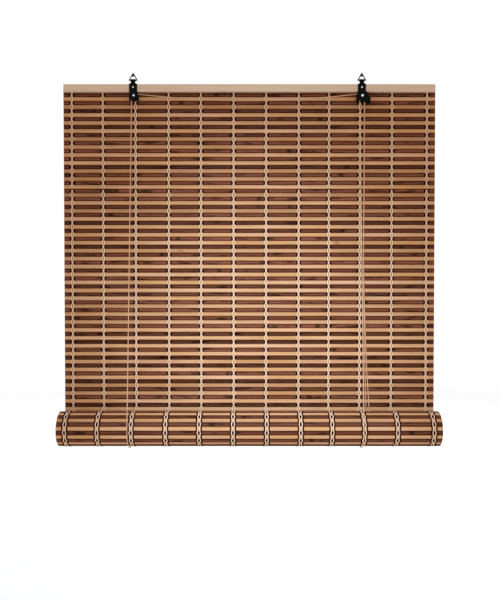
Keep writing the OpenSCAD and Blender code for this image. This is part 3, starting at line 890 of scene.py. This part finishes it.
# %% [markdown]
# ## Threads of the mat
# Each column has two pale threads on either face. In front they lie close together on a dark slat
# and part round the light one, and behind it is the other way round, so the column looks like a
# chain. Dark thread flanks the chain: behind it runs on over every slat, with a short hoop inside
# each open loop, and in front it only hoops over the dark slats. One column is made, thread by
# thread, and copied to all twelve.

# %% Thread lines
# Half the way between two pale threads, and from a column's middle to its dark threads.
FACE = SLAT_T / 2
CLOSE, PARTED = 0.0007, 0.0032
CLOSE_BEHIND, PARTED_BEHIND = 0.0018, 0.0035
FLANK_FRONT, FLANK_DARK, FLANK_LIGHT = 0.0046, 0.0064, 0.0056
# An open loop, point by point: share of its width, height over the slat, way down.
LOOP = [(0.8, 0.00052, -0.0037), (1, 0.00058, -0.0018), (1, 0.00058, 0.0018), (0.8, 0.00052, 0.0037)]


def chain_line(side, count, first, front):
    """Points (x, out, down) of one pale thread: out of the slats' face, down from the first slat."""
    close, parted = (CLOSE, PARTED) if front else (CLOSE_BEHIND, PARTED_BEHIND)
    points = []
    for i in range(count):
        dark = (first + i) % 2 == 0
        z = (i + 0.5) * PITCH
        if dark == front:
            points += [(side * close, 0.00055, z + down) for down in (-0.0028, 0.0028)]
        else:
            points += [(side * parted * share, out, z + down) for share, out, down in LOOP]
        if i < count - 1:
            points.append((side * 0.0022, 0.00015, z + PITCH / 2))
    return points


def flank_line(side, count, first):
    """Points of one dark thread behind the mat."""
    points = []
    for i in range(count):
        wide = FLANK_DARK if (first + i) % 2 == 0 else FLANK_LIGHT
        z = (i + 0.5) * PITCH
        points += [(side * wide, 0.00045, z + down) for down in (-0.003, 0.003)]
        if i < count - 1:
            points.append((side * (FLANK_DARK + FLANK_LIGHT) / 2, 0.0001, z + PITCH / 2))
    return points


def hoop_line(x, out, i):
    """Points of one dark hoop over a dark slat, from the gap above it to the gap below."""
    z = (i + 0.5) * PITCH
    half = [(x, -FACE, z - 0.0044), (x, out - 0.0001, z - 0.0041), (x, out, z - 0.002)]
    return half + [(x, away, 2 * z - down) for x, away, down in reversed(half)]


print("threads lie", CLOSE * 2000, "to", PARTED * 2000, "mm apart")

# %% Columns of thread
# Width and thickness of each kind of thread, which is pressed flat on the slats.
PALE_FRONT, PALE_BACK = (0.0024, 0.001), (0.0026, 0.001)
HOOP_FRONT, HOOP_BACK = (0.0038, 0.0008), (0.005, 0.0006)
FLANK_BACK, FLANK_ROLL = (0.003, 0.0008), (0.0036, 0.0008)
# The most that a thread wanders sideways, in metres.
RUFFLE = 0.0004


def column(lines, size, lay):
    """A mesh of one column; lay puts a thread point in its place."""
    bm = bmesh.new()
    for line in lines:
        tube(bm, [lay(p) for p in line], *size, sides=6)
    mesh = bpy.data.meshes.new("column")
    bm.to_mesh(mesh)
    bm.free()
    return mesh


def all_columns(name, body, material, meshes, *replaced):
    """Copies a column to its twelve places and ruffles it a little."""
    bm = bmesh.new()
    for x in COLUMNS:
        for mesh in meshes:
            first = len(bm.verts)
            bm.from_mesh(mesh)
            bm.verts.ensure_lookup_table()
            bmesh.ops.translate(bm, vec=(x, 0, 0), verts=bm.verts[first:])
    for v in bm.verts:
        v.co.x += RUFFLE * noise.noise(v.co * 90.0)
    return finish_piece(bm, name, body, "string", material, *replaced)


print("a column has two pale and two dark threads on each face")


# %% Hanging threads
def on_face(top, out):
    """Gives the function that lays thread points on one face of the mat; out is -1 in front."""
    def lay(p):
        return (p[0], MAT_MID + out * (FACE + p[1]), top - p[2] + GAP / 2)
    return lay


for where, first, count, top in (("upper", 0, UPPER, MAT_TOP), ("lower", UPPER, LOWER, LOWER_TOP)):
    in_front, at_back = on_face(top, -1), on_face(top, 1)
    pale = [column([chain_line(s, count, first, True) for s in (-1, 1)], PALE_FRONT, in_front),
            column([chain_line(s, count, first, False) for s in (-1, 1)], PALE_BACK, at_back)]
    darks = [i for i in range(count) if (first + i) % 2 == 0]
    flanks = [hoop_line(s * FLANK_FRONT, 0.0004, i) for i in darks for s in (-1, 1)]
    dark = [column(flanks, HOOP_FRONT, in_front),
            column([flank_line(s, count, first) for s in (-1, 1)], FLANK_BACK, at_back),
            column([hoop_line(0, 0.0002, i) for i in darks], HOOP_BACK, at_back)]
    threads = [all_columns(where + "_pale_threads", "head", pale_thread, pale, where + "_strings"),
               all_columns(where + "_dark_threads", "head", dark_thread, dark, where + "_strings")]
    if where == "lower":
        for piece in threads:
            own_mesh(piece)


# %% Threads on the roll
def on_coil(p):
    """A thread point on the outside of the roll, which is the back of the mat."""
    return on_roll(LEAD + GAP / 2 + p[2]) @ Vector((p[0], FACE + p[1], 0))


coil_pale = column([chain_line(s, OUTER, 0, False) for s in (-1, 1)], PALE_BACK, on_coil)
coil_dark = [column([flank_line(s, OUTER, 0) for s in (-1, 1)], FLANK_ROLL, on_coil),
             column([hoop_line(0, 0.0002, i) for i in range(0, OUTER, 2)], HOOP_BACK, on_coil)]
all_columns("rolled_pale_threads", "roll", pale_thread, [coil_pale], "roll_strings")
all_columns("rolled_dark_threads", "roll", dark_thread, coil_dark, "roll_strings")
